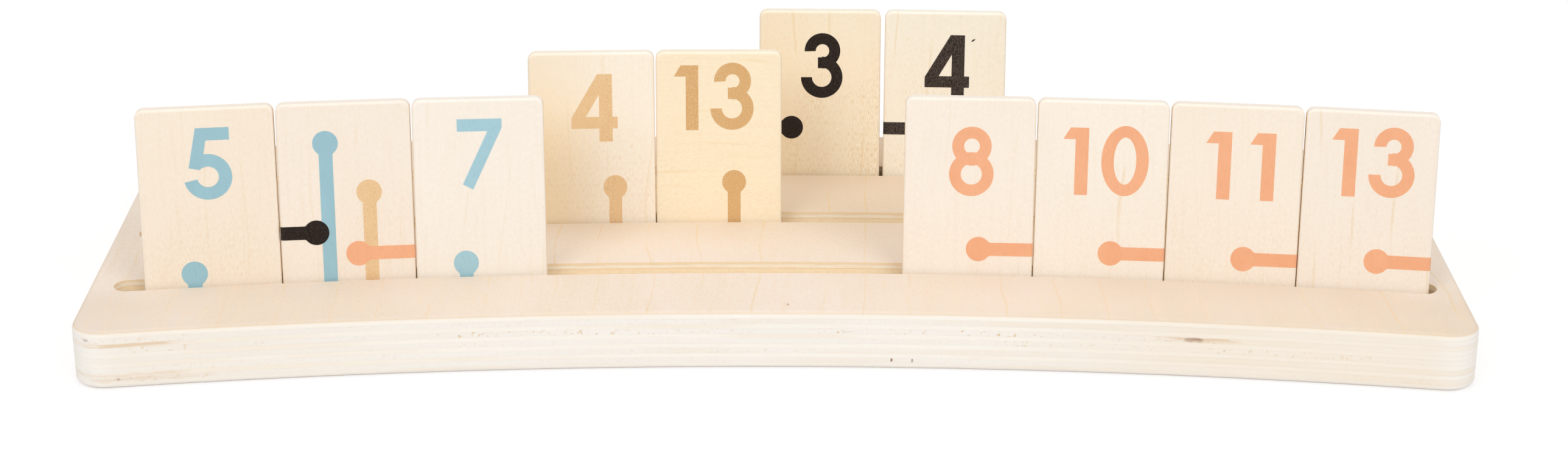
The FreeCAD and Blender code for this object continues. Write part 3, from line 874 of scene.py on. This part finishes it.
def print_seven(print_mesh, left, top):
    """A bar and a slanting stroke."""
    bar = [[(0.0, 0.0), (0.0, 3.07)], [(8.0, 0.0), (8.0, 3.07)], [(11.0, 0.0), (11.0, 2.25)]]
    stroke(print_mesh, 0, moved(bar, left, top))
    stroke(print_mesh, 1, moved([[(8.25, 1.45), (11.0, 2.25)], [(1.09, 16.25), (3.57, 17.6)]], left, top))


def print_eight(print_mesh, left, top):
    """Two rings."""
    bow(print_mesh, 0, (left + 5.65, top + 4.86), 4.86, 1.95, 0, FULL_RING)
    bow(print_mesh, 1, (left + 5.65, top + 11.85), 5.5, 2.62, 0, FULL_RING)


def print_zero(print_mesh, left, top):
    """One oval."""
    oval(print_mesh, 0, (left + 5.83, top + 8.75), (5.83, 8.75), (2.77, 5.9))


NUMBER_PRINTERS = {
    0: print_zero,
    1: print_one,
    3: print_three,
    4: print_four,
    5: print_five,
    7: print_seven,
    8: print_eight,
}

# A dot on its stripe, the fillet where they meet, and how far the stripe turns over the tile's eased edge
DOT_RADIUS = 3.08
STRIPE_HALF_WIDTH = 1.66
NECK_RADIUS = 0.8
NECK_STEPS = 5
WRAP_ANGLE = math.radians(80)
WRAP_STEPS = 6

# Layers that a stripe lies above its dot, and that each dot of the joker lies above the one before
STRIPE_LEVEL = 0.5
JOKER_LEVEL = 1.5

# For each edge that a stripe may run to: its way right and down, and the axis it turns over the edge about
STRIPE_SIDES = {
    "left": ((-1, 0), (0, 0, -1)),
    "right": ((1, 0), (0, 0, 1)),
    "bottom": ((0, 1), (1, 0, 0)),
}


def print_dot(print_mesh, level, centre, side):
    """A dot on a stripe that runs to the tile's left, right or bottom edge and over its eased corner."""
    before = set(print_mesh.verts)
    upright = Matrix.Translation(on_face(centre)) @ Matrix.Rotation(QUARTER_TURN, 4, "X")
    bmesh.ops.create_circle(
        print_mesh,
        cap_ends=True,
        segments=CIRCLE_SEGMENTS,
        radius=DOT_RADIUS * MM,
        matrix=upright,
    )
    lift(print_mesh, before, level)
    (right, down), wrap_axis = STRIPE_SIDES[side]
    to_edge = {"left": centre[0], "right": TILE_WIDTH - centre[0], "bottom": TILE_HEIGHT - centre[1]}[side]
    neck_end = math.sqrt((DOT_RADIUS + NECK_RADIUS) ** 2 - (STRIPE_HALF_WIDTH + NECK_RADIUS) ** 2)
    neck_start = neck_end * DOT_RADIUS / (DOT_RADIUS + NECK_RADIUS)
    outline = [(0.0, STRIPE_HALF_WIDTH)]
    for step in range(NECK_STEPS + 1):
        along = neck_start + (neck_end - neck_start) * step / NECK_STEPS
        inward = math.sqrt(max(NECK_RADIUS ** 2 - (neck_end - along) ** 2, 0.0))
        outline.append((along, STRIPE_HALF_WIDTH + NECK_RADIUS - inward))
    outline.append((to_edge - TILE_EDGE_RADIUS, STRIPE_HALF_WIDTH))
    places = []
    for along, half in outline:
        middle = (centre[0] + right * along, centre[1] + down * along)
        one = (middle[0] - down * half, middle[1] + right * half)
        other = (middle[0] + down * half, middle[1] - right * half)
        places.append([one, other])
    corners = stroke(print_mesh, level + STRIPE_LEVEL, places)
    turning_point = (corners[0].co + corners[1].co) / 2
    turning_point.y = (TILE_EDGE_RADIUS - TILE_THICKNESS) * MM
    bmesh.ops.spin(
        print_mesh,
        geom=[*corners, print_mesh.edges.get(corners)],
        cent=turning_point,
        axis=wrap_axis,
        angle=WRAP_ANGLE,
        steps=WRAP_STEPS,
        use_merge=False,
    )


# A face of the film whose normal has more than this of y looks into the tile
FACING_IN = 0.05


def finish_print(print_mesh, tile, piece_name, ink):
    """Give the print its thickness, put it on its tile, swollen with it, and let it go with the tile."""
    bmesh.ops.recalc_face_normals(print_mesh, faces=print_mesh.faces)
    facing_in = [face for face in print_mesh.faces if face.normal.y > FACING_IN]
    bmesh.ops.reverse_faces(print_mesh, faces=facing_in)
    bmesh.ops.solidify(print_mesh, geom=print_mesh.faces[:], thickness=INK_FILM * MM)
    bmesh.ops.recalc_face_normals(print_mesh, faces=print_mesh.faces)
    foot, turn = tile_place(tile)
    swell = Matrix.Diagonal((1.0 + TILE_SWELL.get(tile, 0.0) / TILE_WIDTH, 1.0, 1.0, 1.0))
    place = Matrix.Translation(foot) @ turn.to_matrix().to_4x4() @ swell
    bmesh.ops.transform(print_mesh, matrix=place, verts=print_mesh.verts)
    mesh = bpy.data.meshes.new(piece_name)
    print_mesh.to_mesh(mesh)
    print_mesh.free()
    piece = bpy.data.objects.new(piece_name, mesh)
    bpy.context.scene.collection.objects.link(piece)
    mesh.materials.append(ink)
    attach(piece, tile)


# Numbers as (digit, left, top), then the dot's middle and the edge its stripe runs to
NUMBER_TILES = [
    ("tile_blue_5", "blue", [(5, 10.7, 4.9)], (11.9, 40.98), "bottom"),
    ("tile_blue_7", "blue", [(7, 10.95, 4.9)], (12.3, 40.88), "bottom"),
    ("tile_coral_8", "coral", [(8, 10.98, 7.08)], (18.8, 37.77), "right"),
    ("tile_coral_10", "coral", [(1, 6.42, 6.68), (0, 15.9, 5.95)], (18.95, 37.98), "right"),
    ("tile_coral_11", "coral", [(1, 8.72, 6.55), (1, 19.45, 6.5)], (19.14, 38.1), "right"),
    ("tile_coral_13", "coral", [(1, 6.5, 4.35), (3, 15.7, 3.58)], (19.08, 37.0), "right"),
    ("tile_gold_4", "gold", [(4, 10.92, 5.55)], (21.93, 34.92), "bottom"),
    ("tile_gold_13", "gold", [(1, 4.65, 3.45), (3, 13.95, 2.8)], (20.05, 33.8), "bottom"),
    ("tile_black_3", "black", [(3, 11.05, 5.95)], (8.65, 31.35), "left"),
    ("tile_black_4", "black", [(4, 10.83, 6.1)], (8.7, 31.45), "left"),
]

# The joker has one dot of each colour; later ones lie over earlier ones
JOKER_DOTS = [
    ("gold", (21.75, 22.3), "bottom"),
    ("blue", (11.65, 9.9), "bottom"),
    ("coral", (18.68, 37.6), "right"),
    ("black", (8.65, 32.08), "left"),
]

# A stray fleck of ink beside the black 4
FLECK = [[(23.05, 7.75), (23.1, 7.85)], [(23.4, 7.25), (23.7, 7.6)], [(24.1, 7.05), (24.15, 7.15)]]


def print_tiles(inks):
    """All the print, one piece for each colour on each tile."""
    for tile, ink_name, digits, dot, side in NUMBER_TILES:
        print_mesh = bmesh.new()
        for digit, left, top in digits:
            NUMBER_PRINTERS[digit](print_mesh, left, top)
        print_dot(print_mesh, 0, dot, side)
        if tile == "tile_black_4":
            stroke(print_mesh, 0, FLECK)
        finish_print(print_mesh, tile, tile + "_print", inks[ink_name])
    for level, (ink_name, dot, side) in enumerate(JOKER_DOTS):
        print_mesh = bmesh.new()
        print_dot(print_mesh, level * JOKER_LEVEL, dot, side)
        finish_print(print_mesh, "tile_joker", f"tile_joker_{ink_name}_print", inks[ink_name])


def set_finish(piece, finish):
    """Put one finish on a solid."""
    piece.data.materials.clear()
    piece.data.materials.append(finish)


# Marks in the wood of the front edge, by ply: middle, half length, height, half height, strength and tone
BROWN_STREAK = shade(222, 180, 132)
UMBER_KNOT = shade(170, 138, 118)
PLY_MARKS = {
    2: [(-164.5, 0.8, 12.8, 0.5, 0.5, UMBER_KNOT)],
    3: [(-153, 13, 11.4, 0.8, 0.5, BROWN_STREAK)],
    4: [
        (102, 12, 10.2, 0.8, 0.5, BROWN_STREAK),
        (100.8, 2.9, 10.2, 0.65, 0.9, UMBER_KNOT),
    ],
    6: [(108, 0.4, 7.5, 0.35, 0.5, UMBER_KNOT)],
    9: [(-153, 15, 3.6, 0.6, 0.3, BROWN_STREAK)],
    10: [
        (-151, 19, 2.5, 0.65, 0.3, BROWN_STREAK),
        (-157.5, 0.4, 2.6, 0.5, 0.6, UMBER_KNOT),
        (28, 0.35, 2.5, 0.7, 1.0, UMBER_KNOT),
        (33, 0.3, 2.4, 0.6, 0.8, UMBER_KNOT),
    ],
}

# The plies that are pitted most, and how strongly the others are
PIT_STRENGTHS = {4: 1.0, 6: 0.9}
FAINT_PITS = 0.2

CORE_PLIES = 11
PLY_SEED_STEP = 3.7


def dress_solids():
    """Give every solid its wood."""
    nodes = frame["nodes"]
    for tile, *look in TILE_WOODS:
        set_finish(nodes[tile], tile_wood(tile, *look))
    veneer = face_veneer()
    set_finish(nodes["rack_top_veneer"], veneer)
    set_finish(nodes["rack_bottom_veneer"], veneer)
    for number in range(1, CORE_PLIES + 1):
        ply = f"rack_ply_{number:02d}"
        end_grain_at_front = number % 2 == 0
        pit_strength = PIT_STRENGTHS.get(number, FAINT_PITS)
        marks = PLY_MARKS.get(number, ())
        finish = ply_edge(ply + "_edge", number * PLY_SEED_STEP, end_grain_at_front, pit_strength, marks)
        set_finish(nodes[ply], finish)


# Floor, light and camera, in metres

TABLE_HALF_SIZE = 4.0
TABLE_DROP = 0.00005

# The table as it lights the object, and as it is seen: thinner paper with a glow that grows further out
PAPER = (0.8, 0.8, 0.8, 1.0)
THIN_PAPER = (0.3, 0.3, 0.3, 1.0)
WHITE = (1.0, 1.0, 1.0, 1.0)
GLOW_NEAR = 0.45
GLOW_FAR = 1.4
GLOW_STRENGTH_NEAR = 0.72
GLOW_STRENGTH_FAR = 0.88


def white_table():
    """White paper that keeps a faint shadow."""
    material = bpy.data.materials.new("white_table")
    material.use_nodes = True
    tree = material.node_tree
    tree.nodes.clear()
    rays = put(tree, "ShaderNodeLightPath").outputs
    seen = combine(tree, "MAXIMUM", rays["Is Camera Ray"], rays["Is Glossy Ray"])
    seen = combine(tree, "MAXIMUM", seen, rays["Is Transmission Ray"])
    paper = put(tree, "ShaderNodeBsdfDiffuse", {"Color": PAPER}).outputs[0]
    thin_paper = put(tree, "ShaderNodeBsdfDiffuse", {"Color": THIN_PAPER}).outputs[0]
    place = split(tree, put(tree, "ShaderNodeTexCoord").outputs["Object"])
    squares = [times(tree, place[axis], place[axis]) for axis in "XY"]
    away = combine(tree, "SQRT", plus(tree, *squares))
    strength = between(tree, away, GLOW_NEAR, GLOW_FAR, GLOW_STRENGTH_NEAR, GLOW_STRENGTH_FAR)
    glow = put(tree, "ShaderNodeEmission", {"Color": WHITE, "Strength": strength}).outputs[0]
    shown = put(tree, "ShaderNodeAddShader", {0: thin_paper, 1: glow}).outputs[0]
    mixed = put(tree, "ShaderNodeMixShader", {0: seen, 1: paper, 2: shown}).outputs[0]
    put(tree, "ShaderNodeOutputMaterial", {"Surface": mixed})
    return material


def lay_floor():
    """A wide table under the rack."""
    table_mesh = bmesh.new()
    bmesh.ops.create_grid(table_mesh, x_segments=1, y_segments=1, size=TABLE_HALF_SIZE)
    bmesh.ops.translate(table_mesh, verts=table_mesh.verts, vec=(0.0, 0.0, -TABLE_DROP))
    mesh = bpy.data.meshes.new("table")
    table_mesh.to_mesh(mesh)
    table_mesh.free()
    table = bpy.data.objects.new("table", mesh)
    bpy.context.scene.collection.objects.link(table)
    mesh.materials.append(white_table())


# Lamps: name, place, what it is pointed at, width, height and power
SOFTBOXES = [
    ("left_softbox", (-0.85, -1.15, 1.1), (0.0, 0.0, 0.02), 0.9, 0.9, 7.8),
    ("right_softbox", (0.85, -1.15, 1.1), (0.0, 0.0, 0.02), 0.9, 0.9, 7.8),
    ("overhead_softbox", (0.0, 0.3, 1.6), (0.0, 0.0, 0.0), 1.6, 1.2, 8.5),
]
ROOM_TONE = (1.0, 0.98, 0.955, 1.0)
ROOM_STRENGTH = 0.485


def add_softbox(name, place, aim, width, height, power):
    """A large soft lamp pointed at a place."""
    lamp = bpy.data.lights.new(name, "AREA")
    lamp.shape = "RECTANGLE"
    lamp.size = width
    lamp.size_y = height
    lamp.energy = power
    lamp_object = bpy.data.objects.new(name, lamp)
    lamp_object.location = place
    lamp_object.rotation_euler = (Vector(aim) - Vector(place)).to_track_quat("-Z", "Y").to_euler()
    bpy.context.scene.collection.objects.link(lamp_object)


def set_light():
    """Two soft lamps in front, a larger one overhead, and a warm pale room."""
    for softbox in SOFTBOXES:
        add_softbox(*softbox)
    room = bpy.data.worlds.new("pale_room")
    room.use_nodes = True
    background = room.node_tree.nodes["Background"]
    background.inputs["Color"].default_value = ROOM_TONE
    background.inputs["Strength"].default_value = ROOM_STRENGTH
    bpy.context.scene.world = room


# Camera: its place, how far it is turned to the right, pitched down and rolled, and its lens in millimetres
CAMERA_PLACE = (-0.003314, -0.73746, 0.320899)
CAMERA_YAW = math.radians(0.42238)
CAMERA_PITCH = math.radians(22.67704)
CAMERA_ROLL = math.radians(0.28620)
CAMERA_LENS = 71.088
CAMERA_SENSOR = 36.0
CAMERA_NEAREST = 0.01


def set_camera():
    """The photographed view: a little above the rack, from the player's side."""
    ahead = math.cos(CAMERA_PITCH)
    forward = Vector((math.sin(CAMERA_YAW) * ahead, math.cos(CAMERA_YAW) * ahead, -math.sin(CAMERA_PITCH)))
    level = Vector((math.cos(CAMERA_YAW), -math.sin(CAMERA_YAW), 0.0))
    upward = level.cross(forward)
    right = math.cos(CAMERA_ROLL) * level + math.sin(CAMERA_ROLL) * upward
    up = math.cos(CAMERA_ROLL) * upward - math.sin(CAMERA_ROLL) * level
    lens = bpy.data.cameras.new("camera")
    lens.sensor_fit = "HORIZONTAL"
    lens.sensor_width = CAMERA_SENSOR
    lens.lens = CAMERA_LENS
    lens.clip_start = CAMERA_NEAREST
    camera = bpy.data.objects.new("camera", lens)
    turn = Matrix((right, up, -forward)).transposed().to_4x4()
    camera.matrix_world = Matrix.Translation(CAMERA_PLACE) @ turn
    bpy.context.scene.collection.objects.link(camera)
    bpy.context.scene.camera = camera


bpy.context.scene.view_settings.view_transform = "Standard"
dress_solids()
print_tiles({name: printed_ink(name) for name in INK_TONES})
lay_floor()
set_light()
set_camera()
